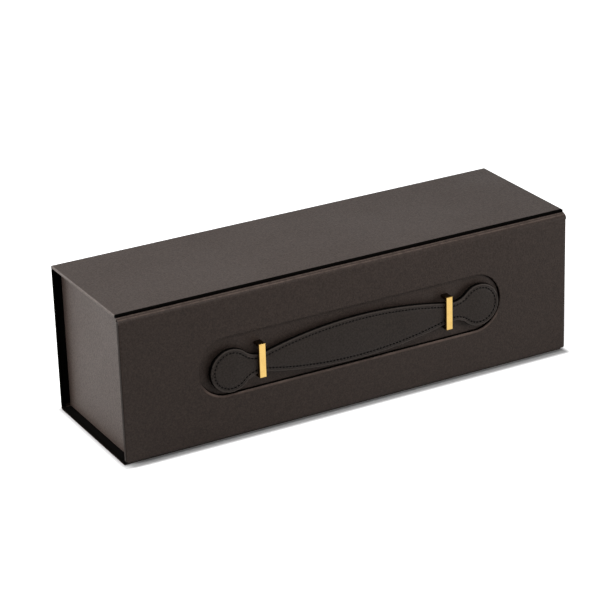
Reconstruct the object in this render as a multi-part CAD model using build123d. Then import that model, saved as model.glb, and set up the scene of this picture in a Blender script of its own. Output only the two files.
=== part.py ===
# Wine gift box: a paper-wrapped case with lid and front flap, a tray, a bottle cradle and a strap handle.
# Millimetres. X runs along the box, the handle faces -Y, +Z is up and the table is at z = 0.

import os

from build123d import *

os.makedirs("parts", exist_ok=True)

# Case, outside sizes
case_length = 345.0
case_depth = 102.5  # lid's front edge to the outside of the back
case_height = 107.4  # table to the top of the lid
flap_rise = 3.2  # table to the flap's lower edge

# Boards and papers
panel_board = 2.0  # base, back and lid
flap_inner_board = 2.1
flap_face_board = 2.0  # holds the racetrack opening, so it is also the recess depth
tray_board = 2.0
paper = 0.25
wrap_margin = 1.6  # wrap left showing round a panel's lining
panel_soft = 0.8  # rounding of a wrapped panel's edges
flap_soft = 1.5

# Back creases: the lid and base stop short of the back's outside, and paper bridges the corner
crease_inset = 0.8  # fold line in front of the back's outside
crease_drop = 1.5  # fold line below the lid's top
crease_play = 0.2
crease_gap = 0.4  # between the back panel's ends and the lid or base
crease_thick = 1.0

# Groove between the lid and the flap
groove_drop = 0.5  # fold line below the lid's underside
groove_inset = 0.45  # fold line behind the lid's front edge
groove_play = 0.35
groove_thick = 0.5
flap_setback = 0.5  # flap's inside behind the lid's front edge

# Tray inside the case
tray_end_inset = 5.9  # the case's ends stand past the tray's ends
tray_gap = 0.3  # flap to tray
lid_gap = 0.2  # lid to the tray's rim
turn_down = 12.0  # tray wrap folded down inside the rim
lining = 0.4

# Bottle cradle, for a standard 750 ml bottle lying down
bottle_diameter = 76.0
bottle_length = 302.0
bottle_body = 185.0  # straight part
bottle_shoulder = 52.0
neck_diameter = 31.0
bottle_play = 1.5
cradle_under = 9.0  # foam under the bottle
cradle_fit = 0.3
cradle_cloth = 0.6
scoop_radius = 16.0  # finger scoop across the cradle
scoop_place = -30.0  # from the middle of the box

# Magnets that hold the flap shut
magnet_diameter = 15.0
magnet_thick = 1.5
magnet_spread = 236.0
magnet_rise = 20.0  # above the flap's lower edge

# Racetrack recess in the flap
recess_length = 234.4
recess_height = 41.4
recess_lip = 0.8  # rounding of its rim
handle_height = 54.9  # table to the middle of recess and loops

# Brass loops
loop_spread = 145.4
loop_width = 5.0
loop_height = 24.2
loop_thick = 2.0
loop_gap = 5.5  # recess floor to the bar
loop_soft = 0.45
leg_fit = 0.1
plate_width = 9.0
plate_margin = 2.5
plate_thick = 1.0

# Leather strap
strap_face_thick = 1.6
strap_back_thick = 1.4
strap_clear = 2.0  # recess floor to the strap, which lies near the bars
strap_half_width = 16.0
strap_curve = 300.0  # radius of the two long sides
neck_half_width = 7.2
neck_blend = 15.0
leaf_blend = 24.0
paddle_radius = 15.7
paddle_spread = 193.4
strap_soft_face = 1.0
strap_soft_back = 0.6
strap_shift = 2.1  # how the strap lies in its loops: to the right, low, and a little turned
strap_sag = 1.7
strap_tilt = 0.7

# Where the strap folds as it is pulled out
fold_inner = 18.0
fold_outer = 66.0
fold_gap = 0.2

# Heights
panel_thick = panel_board + 2 * paper
lid_under = case_height - panel_thick
flap_top = lid_under - groove_drop - groove_inset - groove_play
tray_floor_z = panel_thick
rim_z = lid_under - lid_gap
lining_floor_z = tray_floor_z + tray_board + lining
bottle_z = lining_floor_z + cradle_under + bottle_diameter / 2 + bottle_play

# Depths, with the box centred between the loops' faces and the back
flap_thick = flap_face_board + flap_inner_board + 2 * paper
loop_proud = loop_gap + loop_thick - flap_face_board
total_depth = case_depth + flap_thick - flap_setback + loop_proud
back_y = total_depth / 2
lid_front_y = back_y - case_depth
flap_back_y = lid_front_y + flap_setback
flap_front_y = flap_back_y - flap_thick
recess_floor_y = flap_front_y + flap_face_board
tray_front_y = flap_back_y + tray_gap
tray_back_y = back_y - panel_thick
tray_middle_y = (tray_front_y + tray_back_y) / 2
crease_y = back_y - 2 * crease_inset - crease_play  # back ends of lid and base
strap_back_y = recess_floor_y - strap_clear
strap_seam_y = strap_back_y - strap_back_thick
strap_front_y = strap_seam_y - strap_face_thick

half_length = case_length / 2
tray_half = half_length - tray_end_inset
wall_inset = paper + tray_board

# Fold lines of the lid and the flap: y and z
lid_fold = (back_y - crease_inset, case_height - crease_drop)
flap_fold = (lid_front_y + groove_inset, lid_under - groove_drop)


def block(low, high):
    """A plain block between two corners."""
    size = [b - a for a, b in zip(low, high)]
    middle = [(a + b) / 2 for a, b in zip(low, high)]
    return Pos(*middle) * Box(*size)


def soft_block(low, high, soft):
    """A block with every edge rounded."""
    solid = block(low, high)
    return fillet(solid.edges(), soft)


def inset(low, high, step):
    """The two corners drawn in by one step on every side."""
    return [a + step for a in low], [b - step for b in high]


def front_face(sketch, y):
    """A sketch stood up in the plane at y, its own up along +Z."""
    return Plane.XZ.offset(-y) * sketch


def wrapped_panel(low, high, across, inner):
    """Board, wrap and lining of one panel; across is its thin axis, inner the side of the lining."""
    board = soft_block(*inset(low, high, paper), panel_soft - paper)
    pocket_low, pocket_high = inset(low, high, wrap_margin)
    pocket_low[across] = high[across] - paper if inner > 0 else low[across]
    pocket_high[across] = high[across] if inner > 0 else low[across] + paper
    liner = block(pocket_low, pocket_high)
    wrap = soft_block(low, high, panel_soft) - board - liner
    return board, wrap, liner


def fold_strip(y, z, reach, thick):
    """A paper crease: a strip with a half-round end on the fold line, reaching up or down from it."""
    length = case_length - 2 * panel_soft
    strip = block((-length / 2, y - thick / 2, min(z, reach)), (length / 2, y + thick / 2, max(z, reach)))
    return strip + Pos(0, y, z) * Rot(0, 90, 0) * Cylinder(thick / 2, length)


def make_case():
    """The three plain panels of the case and the creases along the back."""
    left, right = -half_length, half_length
    back_low = panel_thick + crease_gap
    back_high = lid_under - crease_gap
    panels = {
        "base": ((left, tray_front_y, 0), (right, crease_y, panel_thick), 2, 1),
        "back": ((left, tray_back_y, back_low), (right, back_y, back_high), 1, -1),
        "lid": ((left, lid_front_y, lid_under), (right, crease_y, case_height), 2, -1),
    }
    nodes = {}
    for name, panel in panels.items():
        board, wrap, liner = wrapped_panel(*panel)
        nodes[name + "_board"] = board
        nodes[name + "_wrap"] = wrap
        nodes[name + "_lining"] = liner
    fold_y, fold_z = lid_fold
    nodes["lid_crease"] = fold_strip(fold_y, fold_z, back_high, crease_thick)
    nodes["base_crease"] = fold_strip(fold_y, crease_drop, back_low, crease_thick)
    nodes["flap_crease"] = fold_strip(*flap_fold, lid_under, groove_thick)
    return nodes


def magnets(y):
    """Two disc magnets whose faces towards the front are at y."""
    disc = Rot(90, 0, 0) * Cylinder(magnet_diameter / 2, magnet_thick)
    z = flap_rise + magnet_rise
    places = [Pos(side * magnet_spread / 2, y + magnet_thick / 2, z) for side in (-1, 1)]
    return Compound(children=[place * disc for place in places])


def make_tray():
    """Five boards, the wrap over their rim, and the lining."""
    low = (-tray_half, tray_front_y, tray_floor_z)
    high = (tray_half, tray_back_y, rim_z)
    inner_low = [low[0] + wall_inset, low[1] + wall_inset, low[2]]
    inner_high = [high[0] - wall_inset, high[1] - wall_inset, high[2]]
    room = block(inner_low, inner_high)
    walls = soft_block(*inset(low, high, paper), panel_soft - paper) - room
    fold_z = rim_z - turn_down

    turned_room = block(
        (inner_low[0] + paper, inner_low[1] + paper, fold_z),
        (inner_high[0] - paper, inner_high[1] - paper, rim_z),
    )
    lower_room = block(inner_low, (inner_high[0], inner_high[1], fold_z))
    wrap = soft_block(low, high, panel_soft) - walls - turned_room - lower_room

    floor_top = tray_floor_z + tray_board
    lined = block((inner_low[0], inner_low[1], floor_top), (inner_high[0], inner_high[1], fold_z))
    lined_room = block(
        (inner_low[0] + lining, inner_low[1] + lining, floor_top + lining),
        (inner_high[0] - lining, inner_high[1] - lining, fold_z),
    )
    held = magnets(tray_front_y + paper)
    front_part = block((low[0], low[1], low[2]), (high[0], inner_low[1], high[2]))
    back_part = block((low[0], inner_high[1], low[2]), high)
    left_part = block((low[0], inner_low[1], low[2]), (inner_low[0], inner_high[1], high[2]))
    right_part = block((inner_high[0], inner_low[1], low[2]), (high[0], inner_high[1], high[2]))
    return {
        "tray_floor": block(inner_low, (inner_high[0], inner_high[1], floor_top)),
        "tray_front_wall": (walls & front_part) - held,
        "tray_back_wall": walls & back_part,
        "tray_left_end": walls & left_part,
        "tray_right_end": walls & right_part,
        "tray_wrap": wrap,
        "tray_lining": lined - lined_room,
        "tray_magnets": held,
    }


def bottle_hollow(grow):
    """The space of the lying bottle, its base to the left, larger all round by grow."""
    body = bottle_diameter / 2 + bottle_play + grow
    neck = neck_diameter / 2 + bottle_play + grow
    start = -bottle_length / 2 - bottle_play - grow
    end = bottle_length / 2 + bottle_play + grow
    shoulder = -bottle_length / 2 + bottle_body
    collar = shoulder + bottle_shoulder
    outline = Polyline((collar, neck), (end, neck), (end, 0), (start, 0), (start, body), (shoulder, body))
    slope = Spline((shoulder, body), (collar, neck), tangents=[(1, 0), (1, 0)])
    return Pos(0, tray_middle_y, bottle_z) * revolve(make_face(outline + slope), Axis.X)


def cradle_shape(grow):
    """The cradle block less bottle and finger scoops, its shown surfaces set back by grow."""
    reach = wall_inset + lining + cradle_fit
    low = (-tray_half + reach, tray_front_y + reach, lining_floor_z)
    high = (tray_half - reach, tray_back_y - reach, bottle_z - grow)
    scoop = Rot(90, 0, 0) * Cylinder(scoop_radius + grow, case_depth)
    scoop = Pos(scoop_place, tray_middle_y, bottle_z) * scoop
    return block(low, high) - bottle_hollow(grow) - scoop


def make_cradle():
    """Foam block and the cloth over its top and hollow."""
    foam = cradle_shape(cradle_cloth)
    return {"cradle_foam": foam, "cradle_cloth": cradle_shape(0) - foam}


def racetrack(grow):
    """The recess outline, larger all round by grow, at the handle's height."""
    length = recess_length + 2 * grow
    height = recess_height + 2 * grow
    return Pos(0, handle_height) * SlotOverall(length, height)


def sunk_racetrack(panel, grow, lip):
    """The panel with the recess sunk from the flap's front, its rim rounded by lip."""
    front = flap_front_y + grow
    cut = extrude(front_face(racetrack(grow), recess_floor_y + grow), flap_face_board)
    panel = panel - cut
    inside = racetrack(grow + lip / 2).bounding_box()
    rim = [
        edge
        for edge in panel.edges().filter_by_position(Axis.Y, front - 0.01, front + 0.01)
        if inside.min.X < edge.center().X < inside.max.X and inside.min.Y < edge.center().Z < inside.max.Y
    ]
    return fillet(rim, lip)


def loop_legs(side, y_end, grow):
    """The two legs of one loop, from the back of its bar to y_end, larger all round by grow."""
    x = side * loop_spread / 2
    half = loop_width / 2 + grow
    bar_back = recess_floor_y - loop_gap
    legs = []
    for end in (-1, 1):
        z = handle_height + end * (loop_height - loop_thick) / 2
        reach = loop_thick / 2 + grow
        legs.append(block((x - half, bar_back, z - reach), (x + half, y_end, z + reach)))
    return legs[0] + legs[1]


def loop(side, y_end):
    """One brass loop: a flat bar with two legs that end in the plate behind the board."""
    x = side * loop_spread / 2
    bar_back = recess_floor_y - loop_gap
    half = loop_height / 2
    low = (x - loop_width / 2, bar_back - loop_thick, handle_height - half)
    high = (x + loop_width / 2, bar_back, handle_height + half)
    solid = block(low, high) + loop_legs(side, y_end, 0)
    shown = solid.edges().filter_by_position(Axis.Y, low[1] - 0.01, bar_back - loop_thick / 2)
    return fillet(shown, loop_soft)


def keeper_plate(side, y_end):
    """Steel plate in the back of the inner board that holds one loop's legs."""
    x = side * loop_spread / 2
    half = loop_height / 2 + plate_margin
    low = (x - plate_width / 2, y_end - plate_thick, handle_height - half)
    high = (x + plate_width / 2, y_end, handle_height + half)
    return block(low, high)


def make_flap():
    """Two boards, wrap, lining, magnets, and the loops with their plates."""
    low = (-half_length, flap_front_y, flap_rise)
    high = (half_length, flap_back_y, flap_top)
    core = soft_block(*inset(low, high, paper), flap_soft - paper)
    inner_y = flap_back_y - paper
    front_part = block(low, (high[0], recess_floor_y + paper, high[2]))
    face_board = sunk_racetrack(core & front_part, paper, recess_lip - paper)
    inner_board = core - front_part
    lining_low = (low[0] + wrap_margin, inner_y, low[2] + wrap_margin)
    liner = block(lining_low, (high[0] - wrap_margin, high[1], high[2] - wrap_margin))
    wrap = sunk_racetrack(soft_block(low, high, flap_soft), 0, recess_lip)
    wrap = wrap - face_board - inner_board - liner
    held = magnets(inner_y - magnet_thick)
    inner_board = inner_board - held
    nodes = {}
    for name, side in (("left", -1), ("right", 1)):
        legs = loop_legs(side, inner_y, 0)
        slots = loop_legs(side, inner_y, leg_fit)
        plate = keeper_plate(side, inner_y)
        nodes["handle_loop_" + name] = loop(side, inner_y)
        nodes["loop_plate_" + name] = plate - legs
        inner_board = inner_board - slots - plate
        wrap = wrap - slots
    nodes["flap_face_board"] = face_board
    nodes["flap_inner_board"] = inner_board
    nodes["flap_wrap"] = wrap
    nodes["flap_lining"] = liner
    nodes["flap_magnets"] = held
    return nodes


def strap_outline():
    """A leaf between two long arcs, a neck at each loop and a round paddle at each end."""
    side = Circle(strap_curve)
    drop = strap_curve - strap_half_width
    leaf = (Pos(0, -drop) * side) & (Pos(0, drop) * side)
    neck = Rectangle(paddle_spread, 2 * neck_half_width)
    ends = [Pos(end * paddle_spread / 2, 0) * Circle(paddle_radius) for end in (-1, 1)]
    sheet = leaf + neck + ends[0] + ends[1]
    paddle_inside = paddle_spread / 2 - paddle_radius
    by_leaf = [v for v in sheet.vertices() if abs(v.X) < paddle_inside]
    by_paddle = [v for v in sheet.vertices() if abs(v.X) >= paddle_inside]
    sheet = fillet(by_paddle, neck_blend)
    by_leaf = [v for v in sheet.vertices() if any(abs(v.X - w.X) + abs(v.Y - w.Y) < 0.01 for w in by_leaf)]
    return fillet(by_leaf, leaf_blend)


def strap_layer(back, thick, rounded_y, soft):
    """One leather layer of the whole strap, its rim rounded at rounded_y."""
    sheet = extrude(front_face(strap_outline(), back), thick)
    rim = sheet.edges().filter_by_position(Axis.Y, rounded_y - 0.01, rounded_y + 0.01)
    return fillet(rim, soft)


# How the strap lies in its loops
strap_place = Pos(strap_shift, 0, handle_height - strap_sag) * Rot(0, -strap_tilt, 0)


def make_strap():
    """The strap in five lengths that fold against each other."""
    reach = paddle_spread / 2 + paddle_radius + 1
    tall = max(strap_half_width, paddle_radius) + 1
    cuts = [-reach, -fold_outer, -fold_inner, fold_inner, fold_outer, reach]
    names = ["left_end", "left_web", "grip", "right_web", "right_end"]
    layers = {
        "face": strap_layer(strap_seam_y, strap_face_thick, strap_front_y, strap_soft_face),
        "back": strap_layer(strap_back_y, strap_back_thick, strap_back_y, strap_soft_back),
    }
    nodes = {}
    for name, left, right in zip(names, cuts, cuts[1:]):
        length = block(
            (left + fold_gap / 2, strap_front_y, -tall),
            (right - fold_gap / 2, strap_back_y, tall),
        )
        for layer, sheet in layers.items():
            nodes["strap_" + layer + "_" + name] = strap_place * (sheet & length)
    return nodes


nodes = {}
for make in (make_case, make_tray, make_cradle, make_flap, make_strap):
    nodes.update(make())

for name, shape in nodes.items():
    export_step(shape, f"parts/{name}.step")

print("nodes", len(nodes))
print("lid fold y, z", lid_fold, "flap fold y, z", flap_fold)
print("total depth", total_depth, "flap height", flap_top - flap_rise)
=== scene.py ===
# Looks of the wine gift box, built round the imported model.
# Shapes are drawn in millimetres and scaled to metres when they become pieces. X runs along the
# box, the handle faces -Y and the table is at z = 0.
import math

import bmesh
import bpy
from mathutils import Matrix, Vector, noise
from mathutils.geometry import interpolate_bezier


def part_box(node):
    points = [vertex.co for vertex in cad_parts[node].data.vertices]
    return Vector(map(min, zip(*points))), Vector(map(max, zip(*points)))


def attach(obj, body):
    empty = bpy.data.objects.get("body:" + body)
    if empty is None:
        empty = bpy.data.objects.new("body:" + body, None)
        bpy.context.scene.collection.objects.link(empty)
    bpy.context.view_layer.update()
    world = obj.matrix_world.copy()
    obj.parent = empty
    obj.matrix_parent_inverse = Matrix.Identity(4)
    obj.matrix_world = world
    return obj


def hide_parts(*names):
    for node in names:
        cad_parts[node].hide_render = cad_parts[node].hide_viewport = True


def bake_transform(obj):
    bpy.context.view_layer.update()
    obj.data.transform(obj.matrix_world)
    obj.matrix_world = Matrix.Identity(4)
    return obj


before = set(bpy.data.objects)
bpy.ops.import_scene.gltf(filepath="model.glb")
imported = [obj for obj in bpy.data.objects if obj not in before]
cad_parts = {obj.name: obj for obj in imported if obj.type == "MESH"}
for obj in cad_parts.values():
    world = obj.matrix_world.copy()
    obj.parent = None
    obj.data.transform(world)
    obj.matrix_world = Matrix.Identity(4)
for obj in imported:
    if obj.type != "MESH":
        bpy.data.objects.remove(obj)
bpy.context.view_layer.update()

MM = 0.001

# Strap, as in the CAD source
STRAP_CURVE, STRAP_HALF_WIDTH = 300.0, 16.0
NECK_HALF_WIDTH, NECK_BLEND, LEAF_BLEND = 7.2, 15.0, 24.0
PADDLE_RADIUS, PADDLE_PLACE = 15.7, 96.7
STRAP_BACK_Y = -50.55
STRAP_SHIFT, STRAP_HEIGHT, STRAP_TILT = 2.1, 53.2, math.radians(0.7)
FACE_THICK, BACK_THICK = 1.6, 1.4
FOLD_INNER, FOLD_OUTER, FOLD_SPREAD = 18.0, 66.0, 13.0
STITCH_INSET, STITCH_PITCH, STITCH_LENGTH = 2.95, 2.6, 1.85
THREAD, THREAD_HALF_HEIGHT, THREAD_SUNK = 1.0, 0.42, 0.12
FACE_ROUND, BACK_ROUND, FACE_CROWN, CROWN_RUN = 1.0, 0.6, 0.45, 9.0
# Width of the rim's painted highlight, and where the colour is darker along the creased line and
# the stitch channel
RIM_HIGHLIGHT_WIDTH, GROOVE_DARK_FROM, CHANNEL_FROM, GROOVE_DARK_TO = 1.45, 1.3, 2.4, 4.2

# Steps in the arcs of a quarter outline: leaf, its hollow, neck and paddle
ARC_STEPS = (30, 7, 10, 26)
# Lines cut across and along the strap: spacing, and how many to each side of the middle
ACROSS_SPACING, ACROSS_LINES, ALONG_SPACING, ALONG_LINES, ALONG_SHIFT = 2.0, 56, 2.5, 6, 0.01

# Rings inside the strap's rounded rim, as inset and drop: a creased line, then the stitch channel
STRAP_RINGS = (
    (1.60, 0.0), (1.80, 0.12), (2.0, 0.0), (2.75, 0.0), (2.95, 0.16), (3.45, 0.16), (3.65, 0.0))

# Case, as in the CAD source
CASE_HALF, BACK_Y = 172.5, 56.05
LID_FRONT_Y, FLAP_FRONT_Y, LOOP_FRONT_Y = -46.45, -50.55, -56.05
RECESS_HALF, RECESS_RADIUS, HANDLE_HEIGHT = 117.2, 20.7, 54.9

# Folded paper of the scene: points are y, z
FOLD_PAPER, FOLD_INSET = 0.3, 0.3
LID_FOLD = ((56.0, 104.2), (56.0, 105.6), (54.35, 105.6), 90, (53.9, 107.2))
BASE_FOLD = ((56.0, 3.2), (56.0, 1.8), (54.35, 1.8), -90, (53.9, 0.2))
FOLD_STEPS = 12
RIDGE_LINE = [(-46.42, 103.0), (-46.42, 105.85), (-50.48, 103.95), (-50.62, 101.6)]
RIDGE_BENDS = ((RIDGE_LINE[1], 0.55), (RIDGE_LINE[2], 1.5))
RIDGE_PAPER, RIDGE_INSET, RIDGE_SPACING, RIDGE_LINES = 0.22, 0.25, 5.0, 34
RIDGE_RIPPLE, RIDGE_RIPPLE_FROM = 0.10, 103.2

# Painted shade on the panels' end faces: the axis of the fade, its start and end in metres, and the
# share
BASE_ENDS = ("Z", 0.0007, 0.0013, 1.0)
BACK_ENDS = ("Y", (BACK_Y - 0.25) * MM, (BACK_Y - 0.85) * MM, 1.0)
FLAP_ENDS = ("Y", (FLAP_FRONT_Y + 0.15) * MM, (FLAP_FRONT_Y + 0.65) * MM, 0.65)
# Pale lines on the ridge's bends, part wear and part painted highlight: y and half width in metres,
# and the strength
RIDGE_WEAR_AND_HIGHLIGHT = ((-0.0473, 0.0008, 0.75), (-0.0490, 0.0009, 0.75))

# Bottle cradle, as in the CAD source
CRADLE_HALF_X, CRADLE_HALF_Y, CRADLE_MIDDLE_Y, CRADLE_TOP = 163.65, 46.65, 3.95, 53.4
BODY_RADIUS, NECK_RADIUS = 39.5, 17.0
HOLLOW_END, SHOULDER, COLLAR, SHOULDER_PULL = 152.5, 34.0, 86.0, 24.85
SCOOP_RADIUS, SCOOP_PLACE = 16.0, -30.0

# Cradle cloth: lines across the bed, the share of them inside it, and how far it lies off the foam
CLOTH_ROWS, CLOTH_RIM_ROW, CLOTH_THICK = 90, 0.86, 0.4
CLOTH_LIFT, CLOTH_WAVE, CLOTH_CREASE, CLOTH_GATHER = 0.48, 0.26, 0.10, 0.45
GATHER_MIDDLE, GATHER_REACH, GATHER_FOLDS = 56.0, 20.0, 15.0
# Reach from a turn of the cloth and the step between its cross lines there
CLOTH_STEPS = ((0.8, 0.25), (4.0, 0.7), (math.inf, 1.9))

# Camera: lens in millimetres, distance from the box's middle and the middle's shift in the picture
LENS, DISTANCE, SHIFT_RIGHT, SHIFT_UP = 149.9, 1732, -9.7, 5.9
TURN, RISE, TILT = -28.22, 22.99, -1.84
BOX_MIDDLE = (0, 4.8, 53.7)

# Softboxes in metres and watts: name, place, aim, wide, tall, power
SOFTBOXES = [
    ("top_softbox", (-0.72, 0.25, 0.95), (0, 0, 0.05), 0.8, 0.9, 5.7),
    ("left_softbox", (-1.25, 0.15, 0.60), (0, 0, 0.05), 0.9, 0.9, 8.5),
    ("back_softbox", (-0.80, 1.15, 0.26), (-0.10, 0, 0.05), 0.8, 0.5, 13.0),
    ("right_softbox", (0.62, -0.52, 0.13), (0, -0.05, 0.055), 0.34, 0.26, 1.25),
    ("front_softbox", (0.02, -0.30, 0.40), (0, -0.05, 0.07), 0.30, 0.16, 0.65),
]
WORLD_LIGHT = 0.08

# Floor: the box's foot, the glow's width round it and its strength; the weaker glow near the box
# paints shade
FOOT_MIDDLE_Y, FOOT_HALF_Y = 2.7, 53.3
GLOW_FADE, GLOW_NEAR, GLOW_FAR, FLOOR_HALF = 5.0, 0.04, 0.92, 6.0


def aim_camera():
    """The photograph's viewing angle: turn, rise and tilt, then the box's shift in the frame."""
    turn, rise, tilt = math.radians(TURN), math.radians(RISE), math.radians(TILT)
    back = Vector((
        math.sin(turn) * math.cos(rise), -math.cos(turn) * math.cos(rise), math.sin(rise)))
    level = (-back).cross(Vector((0, 0, 1))).normalized()
    upward = level.cross(-back)
    right = level * math.cos(tilt) + upward * math.sin(tilt)
    up = upward * math.cos(tilt) - level * math.sin(tilt)
    place = (Vector(BOX_MIDDLE) + SHIFT_RIGHT * right + SHIFT_UP * up + DISTANCE * back) * MM
    data = bpy.data.cameras.new("camera")
    data.lens = LENS
    data.clip_start, data.clip_end = 0.05, 50
    camera = bpy.data.objects.new("camera", data)
    bpy.context.scene.collection.objects.link(camera)
    camera.matrix_world = Matrix((
        (right.x, up.x, back.x, place.x),
        (right.y, up.y, back.y, place.y),
        (right.z, up.z, back.z, place.z),
        (0, 0, 0, 1),
    ))
    bpy.context.scene.camera = camera


def softbox(name, place, aim, wide, tall, watts):
    """A rectangular soft light at a place, turned towards a point, in metres and watts."""
    data = bpy.data.lights.new(name, "AREA")
    data.shape = "RECTANGLE"
    data.size, data.size_y = wide, tall
    data.energy = watts
    lamp = bpy.data.objects.new(name, data)
    bpy.context.scene.collection.objects.link(lamp)
    lamp.location = place
    lamp.rotation_euler = (Vector(aim) - Vector(place)).to_track_quat("-Z", "Y").to_euler()


class Socket:
    """An output of a shader node. Arithmetic on it adds Math nodes, and node() any other kind."""

    def __init__(self, output):
        self.output = output

    def node(self, kind, settings=None, inputs=None, give=None):
        """Adds a node to this tree: its settings first, then the values or links of its sockets."""
        tree = self.output.id_data
        added = tree.nodes.new("ShaderNode" + kind)
        for name, value in (settings or {}).items():
            setattr(added, name, value)
        for name, value in (inputs or {}).items():
            by_name = [s for s in added.inputs if s.enabled and s.name == name]
            socket = added.inputs[name] if isinstance(name, int) else by_name[0]
            if isinstance(value, Socket):
                tree.links.new(value.output, socket)
            else:
                socket.default_value = value
        shown = [s for s in added.outputs if s.enabled and give in (None, s.name)]
        return Socket(shown[0]) if shown else None

    def other(self, name):
        """Another output of the same node."""
        return Socket(self.output.node.outputs[name])

    def math(self, operation, first, second=0.0):
        return self.node("Math", {"operation": operation}, {0: first, 1: second})

    def __add__(self, value):
        return self.math("ADD", self, value)

    __radd__ = __add__

    def __sub__(self, value):
        return self.math("SUBTRACT", self, value)

    def __rsub__(self, value):
        return self.math("SUBTRACT", value, self)

    def __mul__(self, value):
        return self.math("MULTIPLY", self, value)

    __rmul__ = __mul__

    def __pow__(self, value):
        return self.math("POWER", self, value)

    def __abs__(self):
        return self.math("ABSOLUTE", self)

    def least(self, value):
        return self.math("MINIMUM", self, value)

    def most(self, value):
        return self.math("MAXIMUM", self, value)

    def fade(self, start, end, low=0.0, high=1.0):
        """Goes smoothly from low at start to high at end."""
        return self.node("MapRange", {"interpolation_type": "SMOOTHSTEP"}, {
            "Value": self, "From Min": start, "From Max": end, "To Min": low, "To Max": high})

    def tint(self, first, second):
        """Mixes two colours, with this value as the share of the second."""
        return self.node("Mix", {"data_type": "RGBA"}, {"Factor": self, "A": first, "B": second})

    def clouds(self, scale, detail=2.0, rough=0.5):
        """Noise over a place, about 0.5 on average."""
        return self.node("TexNoise", {}, {
            "Vector": self, "Scale": scale, "Detail": detail, "Roughness": rough})

    def cells(self, scale, settings=None):
        """Distance to the nearest of scattered points."""
        return self.node("TexVoronoi", settings, {"Vector": self, "Scale": scale})

    def stretched(self, scale):
        """A place with each axis scaled."""
        return self.node("Mapping", {}, {"Vector": self, "Scale": scale})

    def bump(self, strength, distance):
        """A surface normal from this height, with the distance in metres."""
        return self.node("Bump", {}, {"Height": self, "Strength": strength, "Distance": distance})


# Glossless black: painted shade in the lid's groove, the recess walls and the panel ends, and the
# strap's edge paint
BLACK_SHADE_AND_PAINT = (0.0040, 0.0035, 0.0032)
PAPER_BROWN = (0.0465, 0.0334, 0.0278)
# Pale lines: wear and painted highlight on outlines and ridge bends, a painted highlight on the
# recess's lower lip
RIM_WEAR_AND_HIGHLIGHT, LIP_HIGHLIGHT, BEND_WEAR_AND_HIGHLIGHT = (0.150, 0.118, 0.100), (0.190, 0.136, 0.113), (0.170, 0.125, 0.105)
STRAP_BROWN = (0.0310, 0.0236, 0.0198)
# Strap: a painted highlight on the rim, and a darker colour along the crease and the stitch channel
STRAP_RIM_HIGHLIGHT, STRAP_GROOVE_DARK = (0.0750, 0.0600, 0.0520), (0.0050, 0.0042, 0.0037)
BRASS_BRIGHT, BRASS_DULL = (0.600, 0.405, 0.135), (0.500, 0.310, 0.090)
# Brass: a painted dark reflection on the sides and painted shade on the legs
BRASS_SIDE_REFLECTION, BRASS_LEG_SHADE = (0.085, 0.040, 0.012), (0.030, 0.015, 0.006)


def colour(red, green, blue):
    return (red, green, blue, 1.0)


def new_finish(name):
    """A material and the place on its surface, in metres."""
    finish = bpy.data.materials.new(name)
    finish.use_nodes = True
    finish.node_tree.nodes.clear()
    place = Socket(finish.node_tree.nodes.new("ShaderNodeTexCoord").outputs["Object"])
    return finish, place


def surface(place, inputs, black=None):
    """Ends a material in a Principled surface; black is the share of a glossless black over it,
    which paints shade where a finish asks for it and is also the strap's edge paint.
    """
    shader = place.node("BsdfPrincipled", {}, inputs)
    if black is not None:
        paint = place.node("BsdfPrincipled", {}, {
            "Base Color": colour(*BLACK_SHADE_AND_PAINT), "Roughness": 0.9, "Specular IOR Level": 0.0})
        shader = place.node("MixShader", {}, {0: black, 1: shader, 2: paint})
    place.node("OutputMaterial", {}, {"Surface": shader})


def shade(base, factor):
    """A colour made lighter or darker by a factor."""
    return colour(*(factor * channel for channel in base))


def rim_of(place, node, across):
    """Distance in metres from the outline of a CAD panel; across is the panel's thin axis."""
    low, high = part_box(node)
    split = place.node("SeparateXYZ", {}, {"Vector": place})
    nearest = None
    for axis, name in enumerate("XYZ"):
        if axis == across:
            continue
        middle, half = (low[axis] + high[axis]) / 2, (high[axis] - low[axis]) / 2
        gap = half - abs(split.other(name) - middle)
        nearest = gap if nearest is None else nearest.least(gap)
    return nearest


def recess_marks(place):
    """Shares of a painted highlight on the recess's lower lip and of painted shade in its walls,
    from its outline.
    """
    split = place.node("SeparateXYZ", {}, {"Vector": place})
    along = (abs(split.other("X")) - (RECESS_HALF - RECESS_RADIUS) * MM).most(0.0)
    rise = split.other("Z") - HANDLE_HEIGHT * MM
    out = (along * along + rise * rise) ** 0.5 - RECESS_RADIUS * MM
    low_side = rise.fade(-0.018, -0.007, 1.0, 0.0)
    lip = out.fade(-0.0001, 0.0003) * out.fade(0.0011, 0.0020, 1.0, 0.0) * low_side
    behind_face = split.other("Y").fade((FLAP_FRONT_Y + 0.25) * MM, (FLAP_FRONT_Y + 0.65) * MM)
    wall = abs(out).fade(0.0002, 0.0006, 1.0, 0.0) * behind_face
    return lip, wall


def end_marks(place, axis, start, end, share):
    """Share of painted shade, a glossless black, on a panel's end faces, fading in along an axis
    behind the outer edge.
    """
    split = place.node("SeparateXYZ", {}, {"Vector": place})
    near_end = abs(split.other("X")).fade((CASE_HALF - 3.1) * MM, (CASE_HALF - 2.3) * MM)
    return near_end * split.other(axis).fade(start, end) * share


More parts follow.
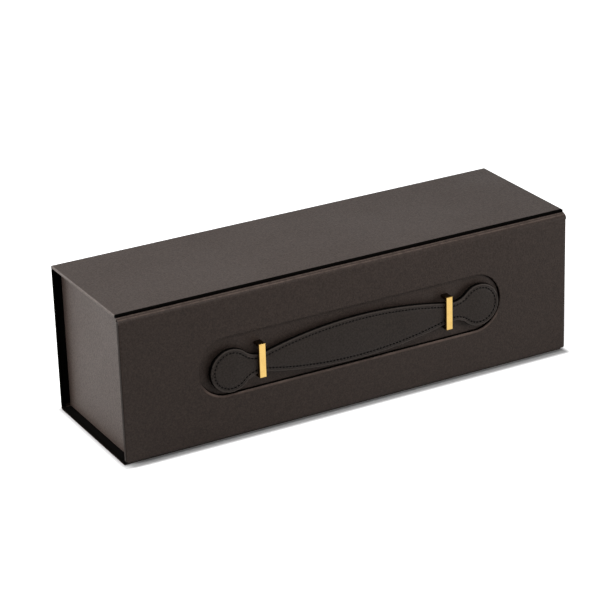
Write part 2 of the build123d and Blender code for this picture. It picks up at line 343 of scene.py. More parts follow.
def case_paper(name, rim=None, rim_wear_and_highlight=0.6, recess=False, groove=False, ends=None, bends=()):
    """Brown-black leatherette paper: a fine embossed grain, mottled, with pale lines where it
    folds, part wear and part painted highlight.

    rim is the panel and its thin axis, rim_wear_and_highlight the strength of its pale outline line
    (wear and painted highlight), recess adds a painted highlight on the lower lip and painted shade
    in the walls, groove paints shade on the lid's front edge, ends is what end_marks takes for
    painted shade on the end faces, and each of bends a pale line of wear and painted highlight: its
    y, half width and strength.
    """
    finish, place = new_finish(name)
    black = None
    grain = place.cells(1050.0, {"feature": "SMOOTH_F1"}).fade(0.0, 0.62)
    fibre = place.clouds(2600.0, 3.0, 0.6)
    clouds = place.clouds(11.0, 3.0, 0.55).fade(0.3, 0.7)
    mottle = place.clouds(780.0, 3.0, 0.72).fade(0.34, 0.66)
    blotch = place.clouds(260.0, 2.0, 0.6).fade(0.36, 0.64)
    tone = clouds.tint(shade(PAPER_BROWN, 0.80), shade(PAPER_BROWN, 0.92))
    tone = (blotch * 0.35).tint(tone, shade(PAPER_BROWN, 1.30))
    tone = (mottle * 0.75).tint(tone, shade(PAPER_BROWN, 1.62))
    tone = ((1 - grain) * 0.48).tint(tone, shade(PAPER_BROWN, 0.45))
    rough = 0.50 - 0.06 * clouds + 0.10 * (1 - grain)
    if rim:
        # Pale line on the outline: wear, and a painted highlight of the rounded edge
        edge = rim_of(place, *rim).fade(0.0, 0.0011, 1.0, 0.0)
        patchy = place.clouds(70.0, 3.0, 0.65).fade(0.35, 0.75, 0.35, 1.0)
        pale_share = edge * patchy * rim_wear_and_highlight
        tone = pale_share.tint(tone, colour(*RIM_WEAR_AND_HIGHLIGHT))
        rough = rough + pale_share * 0.1
    if recess:
        lip, wall = recess_marks(place)
        # Painted highlight on the recess's lower lip, where light from above falls
        pale_share = lip * place.clouds(110.0, 3.0, 0.6).fade(0.3, 0.65, 0.5, 1.0)
        tone = pale_share.tint(tone, colour(*LIP_HIGHLIGHT))
        # Painted shade: glossless black in the recess's walls
        black = wall
    depth = place.node("SeparateXYZ", {}, {"Vector": place}).other("Y")
    if groove:
        # Painted shade: black on the lid's front edge, down in the groove
        black = depth.fade((LID_FRONT_Y + 1.90) * MM, (LID_FRONT_Y + 1.55) * MM)
    if ends:
        # Painted shade on the panels' end faces
        dark = end_marks(place, *ends)
        black = black.most(dark) if black else dark
    for bend, half, strength in bends:
        # Pale lines on the ridge's bends: wear, and a painted highlight where the paper turns
        broken = place.clouds(190.0, 3.0, 0.7).fade(0.32, 0.68, 0.25, 1.0)
        pale_share = abs(depth - bend).fade(0.0, half, 1.0, 0.0) * broken * strength
        tone = pale_share.tint(tone, colour(*BEND_WEAR_AND_HIGHLIGHT))
    height = grain * 0.7 + fibre * 0.45
    surface(place, {
        "Base Color": tone, "Roughness": rough, "Specular IOR Level": 0.14,
        "Normal": height.bump(0.55, 0.00014)}, black)
    return finish


def lining_paper(name, low, high, gloss):
    """Matt black paper, pasted inside the panels and the tray, between two tones."""
    finish, place = new_finish(name)
    fibre = place.stretched((1.0, 2.2, 1.0)).clouds(900.0, 4.0, 0.65)
    clouds = place.clouds(14.0, 3.0, 0.5).fade(0.3, 0.7)
    tone = (fibre * 0.6 + clouds * 0.4).tint(colour(*low), colour(*high))
    surface(place, {
        "Base Color": tone, "Roughness": 0.70 + 0.16 * fibre, "Specular IOR Level": gloss,
        "Normal": fibre.bump(0.35, 0.00010)})
    return finish


def greyboard():
    """Grey recycled board: short fibres and dark flecks."""
    finish, place = new_finish("greyboard")
    fibre = place.stretched((1.0, 3.0, 3.0)).clouds(520.0, 5.0, 0.7)
    fleck = place.clouds(1700.0, 2.0, 0.5).fade(0.66, 0.74)
    tone = fibre.tint(colour(0.27, 0.25, 0.22), colour(0.43, 0.41, 0.37))
    tone = (fleck * 0.6).tint(tone, colour(0.10, 0.09, 0.08))
    surface(place, {
        "Base Color": tone, "Roughness": 0.88 - 0.1 * fibre, "Normal": fibre.bump(0.4, 0.0002)})
    return finish


def cradle_foam():
    """Black cut foam with open cells."""
    finish, place = new_finish("foam")
    cell = place.cells(900.0).fade(0.05, 0.55)
    wide = place.clouds(60.0, 3.0, 0.5)
    tone = (cell * 0.7 + wide * 0.3).tint(colour(0.008, 0.008, 0.008), colour(0.034, 0.033, 0.032))
    surface(place, {
        "Base Color": tone, "Roughness": 0.95 - 0.12 * cell, "Specular IOR Level": 0.2,
        "Normal": cell.bump(0.7, 0.0003)})
    return finish


def cradle_satin():
    """Champagne satin: a fine crossed weave whose long floats run along the box."""
    finish, place = new_finish("cradle_cloth")
    threads = {"wave_type": "BANDS", "bands_direction": "X", "wave_profile": "SIN"}
    warp = place.node("TexWave", {**threads, "bands_direction": "Y"}, {
        "Vector": place, "Scale": 420.0, "Distortion": 0.6, "Detail": 1.0})
    weft = place.node("TexWave", threads, {
        "Vector": place, "Scale": 160.0, "Distortion": 1.2, "Detail": 1.0})
    slub = place.stretched((0.15, 1.0, 1.0)).clouds(500.0, 3.0, 0.6)
    clouds = place.clouds(18.0, 3.0, 0.5).fade(0.3, 0.7)
    tone = clouds.tint(colour(0.50, 0.40, 0.27), colour(0.60, 0.50, 0.35))
    tone = (slub * 0.35 + warp * 0.12).tint(tone, colour(0.70, 0.60, 0.45))
    surface(place, {
        "Base Color": tone, "Roughness": 0.34 + 0.14 * slub,
        "Sheen Weight": 0.35, "Sheen Roughness": 0.4,
        "Normal": (warp * 0.6 + weft * 0.3 + slub * 0.4).bump(0.3, 0.00012)})
    return finish


def drawn_grain(place, scale):
    """A fine grain as metal is drawn, and patches that are slightly duller."""
    grain = place.stretched((1.0, 1.0, 0.06)).clouds(scale, 3.0, 0.6)
    patch = place.clouds(160.0, 3.0, 0.6).fade(0.45, 0.75)
    return grain, patch


def metal(name, bright, dark, rough, grain_scale):
    """A metal between a bright and a dull tone."""
    finish, place = new_finish(name)
    grain, patch = drawn_grain(place, grain_scale)
    tone = (patch * 0.5 + grain * 0.2).tint(bright, dark)
    surface(place, {
        "Base Color": tone, "Metallic": 1.0, "Roughness": rough + 0.08 * grain + 0.08 * patch,
        "Normal": grain.bump(0.06, 0.00003)})
    return finish


def loop_brass():
    """Polished brass strip: a bright bar with a faint grain; its sides rougher with a painted dark
    brown reflection, its legs with painted brown shade.
    """
    finish, place = new_finish("brass")
    grain, patch = drawn_grain(place, 700.0)
    facing = place.node("NewGeometry", {}, {}, "Normal")
    side = abs(facing.node("SeparateXYZ", {}, {"Vector": facing}).other("X")).fade(0.25, 0.75)
    depth = place.node("SeparateXYZ", {}, {"Vector": place}).other("Y")
    behind = depth.fade((LOOP_FRONT_Y + 1.45) * MM, (LOOP_FRONT_Y + 2.35) * MM)
    tone = (patch * 0.35 + grain * 0.2).tint(colour(*BRASS_BRIGHT), colour(*BRASS_DULL))
    # Painted dark reflection on the sides, painted shade on the legs
    tone = (side * 0.93).tint(tone, colour(*BRASS_SIDE_REFLECTION))
    tone = (behind * 0.92).tint(tone, colour(*BRASS_LEG_SHADE))
    rough = 0.17 + 0.06 * grain + 0.06 * patch + 0.2 * side
    surface(place, {
        "Base Color": tone, "Metallic": 1.0, "Roughness": rough,
        "Normal": grain.bump(0.06, 0.00003)})
    return finish


def strap_leather(name, smooth):
    """Dark brown leather with pores, black edge paint, a painted highlight on the rim and darker
    colour along the crease and stitch channel; smooth is 1 on the face, else 0.
    """
    finish, place = new_finish(name)
    pore = place.cells(1500.0, {"feature": "SMOOTH_F1"}).fade(0.0, 0.55)
    crease = place.stretched((1.0, 1.0, 0.45)).clouds(240.0, 4.0, 0.6)
    clouds = place.clouds(30.0, 3.0, 0.5).fade(0.3, 0.7)
    mottle = place.clouds(820.0, 3.0, 0.7).fade(0.34, 0.66)
    tone = clouds.tint(shade(STRAP_BROWN, 0.68), shade(STRAP_BROWN, 0.82))
    tone = (mottle * 0.85).tint(tone, shade(STRAP_BROWN, 1.70))
    tone = ((1 - pore) * 0.45).tint(tone, shade(STRAP_BROWN, 0.42))
    # Painted highlight on the rounded rim
    rim_highlight = place.node("Attribute", {"attribute_name": "rim_highlight"}, {}, "Fac")
    tone = (rim_highlight * 0.8).tint(tone, colour(*STRAP_RIM_HIGHLIGHT))
    # Darker colour along the creased line and the stitch channel
    groove_dark = place.node("Attribute", {"attribute_name": "groove_dark"}, {}, "Fac")
    tone = (groove_dark * 0.9).tint(tone, colour(*STRAP_GROOVE_DARK))
    painted = place.node("Attribute", {"attribute_name": "painted"}, {}, "Fac")
    rough = 0.60 - 0.12 * smooth + 0.1 * (1 - pore) - 0.05 * clouds
    surface(place, {
        "Base Color": tone, "Roughness": rough, "Specular IOR Level": 0.13,
        "Normal": (pore * 0.5 + crease * 0.5).bump(0.28, 0.00012)}, painted)
    return finish


def strap_thread():
    """Waxed black thread, twisted."""
    finish, place = new_finish("strap_thread")
    twist = place.node("TexWave", {"wave_type": "BANDS", "bands_direction": "DIAGONAL"}, {
        "Vector": place, "Scale": 900.0, "Distortion": 0.5})
    tone = twist.tint(colour(0.0010, 0.0009, 0.0008), colour(0.0030, 0.0027, 0.0024))
    surface(place, {
        "Base Color": tone, "Roughness": 0.65 + 0.1 * twist, "Specular IOR Level": 0.04,
        "Normal": twist.bump(0.3, 0.00008)})
    return finish


def make_piece(name, bm, finish, sharp=38.0):
    """A bmesh drawn in millimetres as a piece in metres; edges past the sharp angle stay crisp."""
    bmesh.ops.remove_doubles(bm, verts=bm.verts, dist=0.0005)
    bmesh.ops.recalc_face_normals(bm, faces=bm.faces)
    for face in bm.faces:
        face.smooth = True
    for edge in bm.edges:
        edge.smooth = len(edge.link_faces) == 2 and edge.calc_face_angle(0.0) < math.radians(sharp)
    bmesh.ops.scale(bm, vec=(MM, MM, MM), verts=bm.verts)
    mesh = bpy.data.meshes.new(name)
    bm.to_mesh(mesh)
    bm.free()
    mesh.materials.append(finish)
    piece = bpy.data.objects.new(name, mesh)
    bpy.context.scene.collection.objects.link(piece)
    return piece


STRAP_PLACE = Matrix((
    (math.cos(STRAP_TILT), -math.sin(STRAP_TILT), 0, STRAP_SHIFT),
    (0, 0, -1, STRAP_BACK_Y),
    (math.sin(STRAP_TILT), math.cos(STRAP_TILT), 0, STRAP_HEIGHT),
    (0, 0, 0, 1),
))


def spin_on(bm, vert, centre, degrees, steps, axis=(0, 0, 1)):
    """Draws an arc on from a line's end and returns the new end."""
    spun = bmesh.ops.spin(
        bm, geom=[vert], cent=centre, axis=axis, dvec=(0, 0, 0),
        angle=math.radians(degrees), steps=steps, use_merge=False, use_duplicate=False)
    return next(part for part in spun["geom_last"] if isinstance(part, bmesh.types.BMVert))


def slice_across(bm, spacing, lines):
    """Cuts evenly spaced lines across a strap or sheet, so many to each side of the middle."""
    for step in range(-lines, lines + 1):
        bmesh.ops.bisect_plane(
            bm, geom=bm.verts[:] + bm.edges[:] + bm.faces[:], dist=0.0001,
            plane_co=(spacing * step, 0, 0), plane_no=(1, 0, 0))


def strap_line(inset, fine=1):
    """The strap's outline, drawn in by the inset: a quarter of arcs, then mirrored twice."""
    leaf_steps, hollow_steps, neck_steps, paddle_steps = (count * fine for count in ARC_STEPS)
    leaf_drop = STRAP_CURVE - STRAP_HALF_WIDTH
    leaf_rise = NECK_HALF_WIDTH + LEAF_BLEND
    leaf_x = math.sqrt((STRAP_CURVE + LEAF_BLEND) ** 2 - (leaf_rise + leaf_drop) ** 2)
    leaf_angle = math.degrees(math.atan2(leaf_x, leaf_rise + leaf_drop))
    neck_rise = NECK_HALF_WIDTH + NECK_BLEND
    neck_reach = math.sqrt((PADDLE_RADIUS + NECK_BLEND) ** 2 - neck_rise ** 2)
    neck_x = PADDLE_PLACE - neck_reach
    neck_angle = math.degrees(math.atan2(neck_reach, neck_rise))
    bm = bmesh.new()
    vert = bm.verts.new((0, STRAP_HALF_WIDTH - inset, 0))
    vert = spin_on(bm, vert, (0, -leaf_drop, 0), -leaf_angle, leaf_steps)
    vert = spin_on(bm, vert, (leaf_x, leaf_rise, 0), leaf_angle, hollow_steps)
    neck = bm.verts.new((neck_x, NECK_HALF_WIDTH - inset, 0))
    bm.edges.new((vert, neck))
    vert = spin_on(bm, neck, (neck_x, neck_rise, 0), neck_angle, neck_steps)
    spin_on(bm, vert, (PADDLE_PLACE, 0, 0), -90 - neck_angle, paddle_steps)
    for axis in "XY":
        everything = bm.verts[:] + bm.edges[:]
        bmesh.ops.mirror(bm, geom=everything, matrix=Matrix(), merge_dist=0.001, axis=axis)
    return bm


def layer_rings(thick, soft):
    """Insets and heights from a layer's edge inwards: rounded rim, creased line, stitch channel."""
    wall = thick - soft
    rings = [(0.0, wall)]
    for degrees in (30, 60, 90):
        turn = math.radians(degrees)
        rings.append((soft * (1 - math.cos(turn)), wall + soft * math.sin(turn)))
    return rings + [(inset, thick - drop) for inset, drop in STRAP_RINGS]


def inside_depth(x, y):
    """How far a point of the strap lies inside its outline, about."""
    leaf = STRAP_CURVE - math.hypot(x, abs(y) + STRAP_CURVE - STRAP_HALF_WIDTH)
    paddle = PADDLE_RADIUS - math.hypot(abs(x) - PADDLE_PLACE, y)
    return max(leaf, paddle, NECK_HALF_WIDTH - abs(y))


def cut_middle(bm, top):
    """Cuts lines along a layer's top inside its rings, so that it can be crowned."""
    middle = [top] + list(top.edges) + list(top.verts)
    for step in range(-ALONG_LINES, ALONG_LINES + 1):
        cut = bmesh.ops.bisect_plane(
            bm, geom=middle, dist=0.0001,
            plane_co=(0, ALONG_SPACING * step + ALONG_SHIFT, 0), plane_no=(0, 1, 0))
        middle = list(dict.fromkeys(middle + cut["geom"] + cut["geom_cut"]))
        middle = [part for part in middle if part.is_valid]


def strap_layer(thick, soft, crown):
    """One leather layer as a closed body on z = 0, crowned, and cut across so that it can bend."""
    bm = strap_line(0)
    bmesh.ops.contextual_create(bm, geom=bm.edges[:])
    raised = bmesh.ops.extrude_face_region(bm, geom=bm.faces[:])
    top = next(part for part in raised["geom"] if isinstance(part, bmesh.types.BMFace))
    rings = layer_rings(thick, soft)
    drawn_in = 0.0
    for inset, height in rings:
        if inset > drawn_in:
            bmesh.ops.inset_region(
                bm, faces=[top], thickness=inset - drawn_in,
                use_boundary=True, use_even_offset=True)
            drawn_in = inset
        for vert in top.verts:
            vert.co.z = height
    cut_middle(bm, top)
    slice_across(bm, ACROSS_SPACING, ACROSS_LINES)
    painted = bm.verts.layers.float.new("painted")
    rim_highlight = bm.verts.layers.float.new("rim_highlight")
    groove_dark = bm.verts.layers.float.new("groove_dark")
    for vert in bm.verts:
        depth = inside_depth(vert.co.x, vert.co.y)
        sunk = thick - vert.co.z
        if depth > rings[-1][0] and sunk < 0.001:
            share = min((depth - rings[-1][0]) / CROWN_RUN, 1.0)
            vert.co.z += crown * share * share * (3 - 2 * share)
        # Edge paint below the rounded rim, a painted highlight on the rim, and darker colour along
        # the creased line and the stitch channel
        vert[painted] = min(max((sunk - 0.20 * soft) / (0.25 * soft), 0.0), 1.0)
        vert[rim_highlight] = 1.0 if sunk < 0.3 * soft and depth < RIM_HIGHLIGHT_WIDTH else 0.0
        if 0.02 < sunk < 0.3 and GROOVE_DARK_FROM < depth < GROOVE_DARK_TO:
            vert[groove_dark] = 0.35 if depth < CHANNEL_FROM else 0.5
    return bm


def walk(bm):
    """The points of a closed line in order."""
    start = bm.verts[:][0]
    points, edge, vert = [start.co.copy()], start.link_edges[0], start
    while True:
        vert = edge.other_vert(vert)
        if vert == start:
            return points
        points.append(vert.co.copy())
        edge = next(e for e in vert.link_edges if e != edge)


def stitch_places():
    """Middle and direction of every stitch, evenly spaced along a line inside the strap's edge."""
    points = walk(strap_line(STITCH_INSET, fine=3))
    runs = [(a, b) for a, b in zip(points, points[1:] + points[:1])]
    total = sum((b - a).length for a, b in runs)
    pitch = total / round(total / STITCH_PITCH)
    places, due, gone = [], pitch / 2, 0.0
    for a, b in runs:
        run = (b - a).length
        while due <= gone + run:
            places.append((a.lerp(b, (due - gone) / run), (b - a).normalized()))
            due += pitch
        gone += run
    return places


def lay_thread(places, heights):
    """A short rounded stitch at each place and height."""
    bm = bmesh.new()
    for middle, along in places:
        turn = Matrix.Rotation(math.atan2(along.y, along.x), 4, "Z")
        size = Matrix.Diagonal((STITCH_LENGTH / 2, THREAD / 2, THREAD_HALF_HEIGHT, 1))
        for height in heights:
            spot = Matrix.Translation((middle.x, middle.y, height))
            bmesh.ops.create_uvsphere(
                bm, u_segments=8, v_segments=5, radius=1, matrix=spot @ turn @ size)
    return bm


STRAP_LENGTHS = [
    # name, from, to, fold, bodies left and right of the fold, CAD lengths it stands for
    ("left_end", -120.0, -42.0, -FOLD_OUTER, "strap_left_end", "strap_left_web", ["left_end"]),
    ("left_web", -42.0, 0.0, -FOLD_INNER, "strap_left_web", "strap_grip", ["left_web", "grip"]),
    ("right_web", 0.0, 42.0, FOLD_INNER, "strap_grip", "strap_right_web", ["right_web"]),
    ("right_end", 42.0, 120.0, FOLD_OUTER, "strap_right_web", "strap_right_end", ["right_end"]),
]


def cut_length(bm, left, right):
    """A closed copy of the part between two cuts across the strap."""
    part = bm.copy()
    for place, side in ((left, -1), (right, 1)):
        everything = part.verts[:] + part.edges[:] + part.faces[:]
        bmesh.ops.bisect_plane(
            part, geom=everything, dist=0.0001, plane_co=(place, 0, 0), plane_no=(side, 0, 0),
            clear_outer=True)
        open_edges = [edge for edge in part.edges if edge.is_boundary]
        if open_edges:
            bmesh.ops.contextual_create(part, geom=open_edges)
    return part


def bend_length(piece):
    """Bakes a strap piece's placement into its mesh."""
    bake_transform(piece)


def make_strap(leather, backing, thread):
    """Face leather, backing and stitches, in four lengths that meet where the strap is straight."""
    face = strap_layer(FACE_THICK, FACE_ROUND, FACE_CROWN)
    bmesh.ops.translate(face, verts=face.verts, vec=(0, 0, BACK_THICK))
    back = strap_layer(BACK_THICK, BACK_ROUND, 0.0)
    turned = Matrix.Translation((0, 0, BACK_THICK)) @ Matrix.Diagonal((1, 1, -1, 1))
    bmesh.ops.transform(back, matrix=turned, verts=back.verts)
    places = stitch_places()
    heights = (BACK_THICK + FACE_THICK - THREAD_SUNK, THREAD_SUNK)
    for length in STRAP_LENGTHS:
        name, left, right = length[:3]
        for layer, bm, finish, slot in (
                ("face", face, leather, "strap_leather"), ("back", back, backing, "strap_lining")):
            part = cut_length(bm, left, right)
            bmesh.ops.transform(part, matrix=STRAP_PLACE, verts=part.verts)
            piece = make_piece("strap_" + layer + "_leather_" + name, part, finish)
            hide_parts(*("strap_" + layer + "_" + node for node in length[6]))
            bend_length(piece)
        part = lay_thread([place for place in places if left <= place[0].x < right], heights)
        bmesh.ops.transform(part, matrix=STRAP_PLACE, verts=part.verts)
        stitches = make_piece("strap_stitches_" + name, part, thread, sharp=60.0)
        bend_length(stitches)


def draw_along(bm, inset):
    """Draws a line at the left end along the box into a sheet that stops short of both ends."""
    drawn = bmesh.ops.extrude_edge_only(bm, edges=bm.edges[:])
    moved = [part for part in drawn["geom"] if isinstance(part, bmesh.types.BMVert)]
    bmesh.ops.translate(bm, verts=moved, vec=(2 * (CASE_HALF - inset), 0, 0))


def paper_turn(name, start, bend, centre, degrees, tab, finish):
    """Wrap paper round a fold: a tab up to the bend, an arc about the centre, and a second tab."""
    bm = bmesh.new()
    left = -CASE_HALF + FOLD_INSET
    ends = [bm.verts.new((left, *point)) for point in (start, bend)]
    bm.edges.new(ends)
    vert = spin_on(bm, ends[1], (left, *centre), degrees, FOLD_STEPS, (1, 0, 0))
    last = bm.verts.new((left, *tab))
    bm.edges.new((vert, last))
    draw_along(bm, FOLD_INSET)
    bmesh.ops.recalc_face_normals(bm, faces=bm.faces)
    bmesh.ops.solidify(bm, geom=bm.faces[:], thickness=FOLD_PAPER)
    return make_piece(name, bm, finish, sharp=50.0)


def lies_at(edge, point):
    """Whether an edge runs along the box through a point y, z."""
    return all(
        abs(vert.co.y - point[0]) + abs(vert.co.z - point[1]) < 0.01 for vert in edge.verts)


def groove_ridge(paper):
    """The wrap that rises out of the groove at the lid's front edge and rounds the flap's top."""
    bm = bmesh.new()
    verts = [bm.verts.new((-CASE_HALF + RIDGE_INSET, *point)) for point in RIDGE_LINE]
    for pair in zip(verts, verts[1:]):
        bm.edges.new(pair)
    draw_along(bm, RIDGE_INSET)
    for corner, soft in RIDGE_BENDS:
        bend = [edge for edge in bm.edges if lies_at(edge, corner)]
        bmesh.ops.bevel(
            bm, geom=bend, offset=soft, segments=5, profile=0.5, affect="EDGES", material=-1)
    slice_across(bm, RIDGE_SPACING, RIDGE_LINES)
    for vert in bm.verts:
        if vert.co.z > RIDGE_RIPPLE_FROM:
            vert.co.z += RIDGE_RIPPLE * noise.noise(Vector((vert.co.x / 17, vert.co.y / 3, 0)))
    bmesh.ops.recalc_face_normals(bm, faces=bm.faces)
    front = min(bm.faces, key=lambda face: face.calc_center_median().y)
    thickness = RIDGE_PAPER if front.normal.y < 0 else -RIDGE_PAPER
    bmesh.ops.solidify(bm, geom=bm.faces[:], thickness=thickness)
    return make_piece("flap_ridge_paper", bm, paper, sharp=40.0)


def make_folds(paper, ridge_paper):
    """Paper turned round the backs of lid and base, and the ridge between lid and flap."""
    lid = paper_turn("lid_fold_paper", *LID_FOLD, paper)
    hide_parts("lid_crease")
    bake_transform(lid)
    base = paper_turn("base_fold_paper", *BASE_FOLD, paper)
    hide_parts("base_crease")
    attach(base, "root")
    ridge = groove_ridge(ridge_paper)
    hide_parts("flap_crease")
    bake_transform(ridge)


SHOULDER_LINE = interpolate_bezier(
    (SHOULDER, BODY_RADIUS, 0), (SHOULDER + SHOULDER_PULL, BODY_RADIUS, 0),
    (COLLAR - SHOULDER_PULL, NECK_RADIUS, 0), (COLLAR, NECK_RADIUS, 0), 60)


def hollow_radius(x):
    """Radius of the bottle's bed at x: body, shoulder and neck."""
    if x <= SHOULDER:
        return BODY_RADIUS
    for start, end in zip(SHOULDER_LINE, SHOULDER_LINE[1:]):
        if x <= end.x:
            return start.lerp(end, (x - start.x) / (end.x - start.x)).y
    return NECK_RADIUS


def cradle_height(x, y):
    """Height of the cradle's top over a point, its middle line at y = 0."""
    radius = hollow_radius(x)
    inside = radius * radius - y * y
    bed = math.sqrt(inside) if inside > 0 and abs(x) < HOLLOW_END else 0.0
    across = SCOOP_RADIUS ** 2 - (x - SCOOP_PLACE) ** 2
    scoop = math.sqrt(across) if across > 0 else 0.0
    return CRADLE_TOP - max(bed, scoop)


def cradle_columns():
    """Places along the box for the cloth's cross lines, closer where the cloth turns."""
    turns = (-HOLLOW_END, SCOOP_PLACE - SCOOP_RADIUS, SCOOP_PLACE + SCOOP_RADIUS, HOLLOW_END)
    places, x = [], -CRADLE_HALF_X
    while x < CRADLE_HALF_X:
        places.append(x)
        near = min(abs(x + 0.05 - turn) for turn in turns)
        x += next(step for reach, step in CLOTH_STEPS if near < reach)
    return places + [CRADLE_HALF_X]


def lay_cloth():
    """A grid of cloth on the foam: flat on top and down into the bed."""
    columns = cradle_columns()
    bm = bmesh.new()
    bmesh.ops.create_grid(bm, x_segments=len(columns) - 1, y_segments=CLOTH_ROWS, size=1)
    for vert in bm.verts:
        x = columns[round((vert.co.x + 1) / 2 * (len(columns) - 1))]
        row = vert.co.y
        radius = hollow_radius(x)
        if abs(row) <= CLOTH_RIM_ROW:
            y = radius * math.sin(row / CLOTH_RIM_ROW * math.pi / 2)
        else:
            past_rim = (abs(row) - CLOTH_RIM_ROW) / (1 - CLOTH_RIM_ROW)
            y = math.copysign(radius + (CRADLE_HALF_Y - radius) * past_rim, row)
        vert.co = (x, y, cradle_height(x, y))
    return bm


def ease_cloth(bm):
    """Lifts the cloth off the foam in soft waves, with small gathers at the shoulder."""
    edge = [vert for vert in bm.verts if vert.is_boundary]
    bm.normal_update()
    lifts = {}
    for vert in bm.verts:
        x, y, z = vert.co
        soft = noise.noise(Vector((x / 26, y / 14, z / 14)))
        fine = noise.noise(Vector((x / 7, y / 5, z / 5 + 9)))
        gather = math.exp(-((x - GATHER_MIDDLE) / GATHER_REACH) ** 2)
        around = math.atan2(y, CRADLE_TOP - z)
        sway = 2.2 * noise.noise(Vector((x / 30, around * 2, 3)))
        fold = math.sin(around * GATHER_FOLDS + sway)
        lift = CLOTH_LIFT + CLOTH_WAVE * soft + CLOTH_CREASE * fine
        lifts[vert] = lift + CLOTH_GATHER * gather * (0.5 + 0.5 * fold)
    for vert in bm.verts:
        vert.co += vert.normal * lifts[vert] * (1 if vert.normal.z >= 0 else -1)
    for vert in edge:
        vert.co.x = min(max(vert.co.x, -CRADLE_HALF_X), CRADLE_HALF_X)
        vert.co.y = min(max(vert.co.y, -CRADLE_HALF_Y), CRADLE_HALF_Y)


def make_cradle_cloth(satin):
    """Satin laid over the foam, with its own thickness."""
    bm = lay_cloth()
    ease_cloth(bm)
    area = sum(face.calc_area() for face in bm.faces) * MM * MM
    bmesh.ops.recalc_face_normals(bm, faces=bm.faces)
    bmesh.ops.solidify(bm, geom=bm.faces[:], thickness=CLOTH_THICK)
    bmesh.ops.translate(bm, verts=bm.verts, vec=(0, CRADLE_MIDDLE_Y, 0))
    cloth = make_piece("cradle_satin", bm, satin, sharp=70.0)
    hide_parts("cradle_cloth")
    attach(cloth, "root")


def make_foam_block(foam):
    """The cut foam under the cloth, in the CAD solid's own shape."""
    bm = bmesh.new()
    bm.from_mesh(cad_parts["cradle_foam"].data)
    bmesh.ops.scale(bm, vec=(1 / MM, 1 / MM, 1 / MM), verts=bm.verts)
    block = make_piece("cradle_foam_block", bm, foam, sharp=30.0)
    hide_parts("cradle_foam")
    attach(block, "root")


def white_share(rays):
    """1 for camera, glossy and transmission rays, which see a white studio, and 0 for others."""
    kinds = [rays.other(kind) for kind in ("Is Camera Ray", "Is Glossy Ray", "Is Transmission Ray")]
    return (kinds[0] + kinds[1] + kinds[2]).least(1.0)


def make_floor():
    """A pale floor; its glow fades close to the box, a painted darker ring where the shadow shows.
    """
    bm = bmesh.new()
    bmesh.ops.create_grid(bm, x_segments=1, y_segments=1, size=FLOOR_HALF)
    mesh = bpy.data.meshes.new("floor")
    bm.to_mesh(mesh)
    bm.free()
    floor = bpy.data.objects.new("floor", mesh)
    bpy.context.scene.collection.objects.link(floor)
    finish, place = new_finish("floor")
    seen = white_share(place.node("LightPath", {}, {}))
    split = place.node("SeparateXYZ", {}, {"Vector": place})
    aside = (abs(split.other("X")) - CASE_HALF * MM).most(0.0)
    ahead = (abs(split.other("Y") - FOOT_MIDDLE_Y * MM) - FOOT_HALF_Y * MM).most(0.0)
    away = (aside * aside + ahead * ahead) ** 0.5
    # Painted shade: the glow is weaker close to the box
    glow = seen * away.fade(0.0, GLOW_FADE * MM, GLOW_NEAR, GLOW_FAR)
    cover = seen.tint(colour(0.105, 0.103, 0.101), colour(0.86, 0.86, 0.86))
    pale = place.node("BsdfDiffuse", {}, {"Color": cover})
    light = place.node("Emission", {}, {"Color": colour(1, 1, 1), "Strength": glow})
    place.node("OutputMaterial", {}, {"Surface": place.node("AddShader", {}, {0: pale, 1: light})})
    mesh.materials.append(finish)


def light_world():
    """White to the camera and in gloss, plain grey as a light."""
    world = bpy.data.worlds.new("studio")
    bpy.context.scene.world = world
    world.use_nodes = True
    world.node_tree.nodes.clear()
    rays = Socket(world.node_tree.nodes.new("ShaderNodeLightPath").outputs["Is Camera Ray"])
    strength = white_share(rays).fade(0.0, 1.0, WORLD_LIGHT, 1.0)
    sky = rays.node("Background", {}, {"Color": colour(1, 1, 1), "Strength": strength})
    rays.node("OutputWorld", {}, {"Surface": sky})


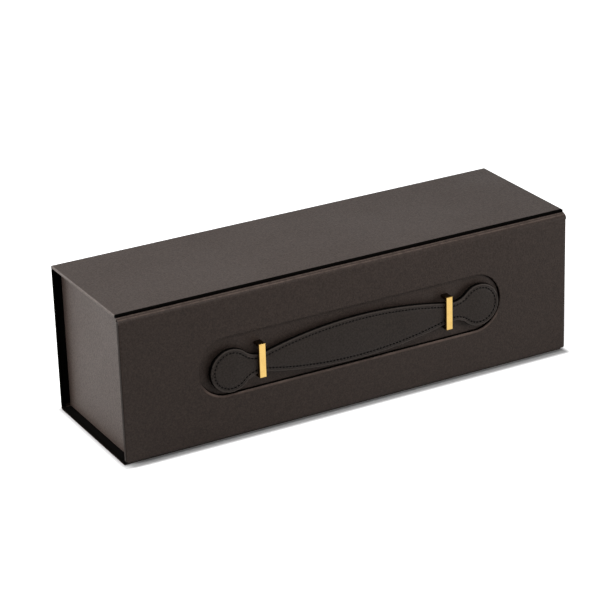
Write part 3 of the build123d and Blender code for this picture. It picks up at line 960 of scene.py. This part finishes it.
def dress(finish, *names):
    """Gives CAD nodes a finish."""
    for name in names:
        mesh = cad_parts[name].data
        mesh.materials.clear()
        mesh.materials.append(finish)


bpy.context.scene.view_settings.view_transform = "Standard"
aim_camera()
light_world()
for settings in SOFTBOXES:
    softbox(*settings)
make_floor()

paper = case_paper("case_paper")
board = greyboard()
# The base and back linings are a darker copy of the lining paper: painted shade in the overhangs at
# the panel ends
shaded_lining = lining_paper(
    "shaded_lining", (0.0022, 0.0020, 0.0019), (0.0044, 0.0039, 0.0036), gloss=0.01)
open_lining = lining_paper(
    "open_lining", (0.0085, 0.0077, 0.0070), (0.0230, 0.0208, 0.0190), gloss=0.20)
dress(case_paper("base_paper", ("base_wrap", 2), ends=BASE_ENDS), "base_wrap")
dress(case_paper("back_paper", ("back_wrap", 1), ends=BACK_ENDS), "back_wrap")
dress(case_paper("lid_paper", ("lid_wrap", 2), groove=True), "lid_wrap")
flap_paper = case_paper("flap_paper", ("flap_wrap", 1), rim_wear_and_highlight=0.15, recess=True, ends=FLAP_ENDS)
dress(flap_paper, "flap_wrap")
dress(paper, "tray_wrap")
dress(shaded_lining, "base_lining", "back_lining")
dress(open_lining, "lid_lining", "flap_lining", "tray_lining")
dress(board, "base_board", "back_board", "lid_board", "flap_face_board", "flap_inner_board")
dress(board, "tray_floor", "tray_front_wall", "tray_back_wall", "tray_left_end", "tray_right_end")
dress(loop_brass(), "handle_loop_left", "handle_loop_right")
steel = metal("steel", colour(0.62, 0.62, 0.63), colour(0.42, 0.42, 0.43), 0.3, 900.0)
dress(steel, "loop_plate_left", "loop_plate_right")
magnet = metal("magnet", colour(0.66, 0.66, 0.67), colour(0.5, 0.5, 0.5), 0.2, 1200.0)
dress(magnet, "flap_magnets", "tray_magnets")

strap_face = strap_leather("strap_leather", smooth=1.0)
make_strap(strap_face, strap_leather("strap_lining", smooth=0.0), strap_thread())
make_folds(paper, case_paper("ridge_paper", bends=RIDGE_WEAR_AND_HIGHLIGHT))
make_foam_block(cradle_foam())
make_cradle_cloth(cradle_satin())
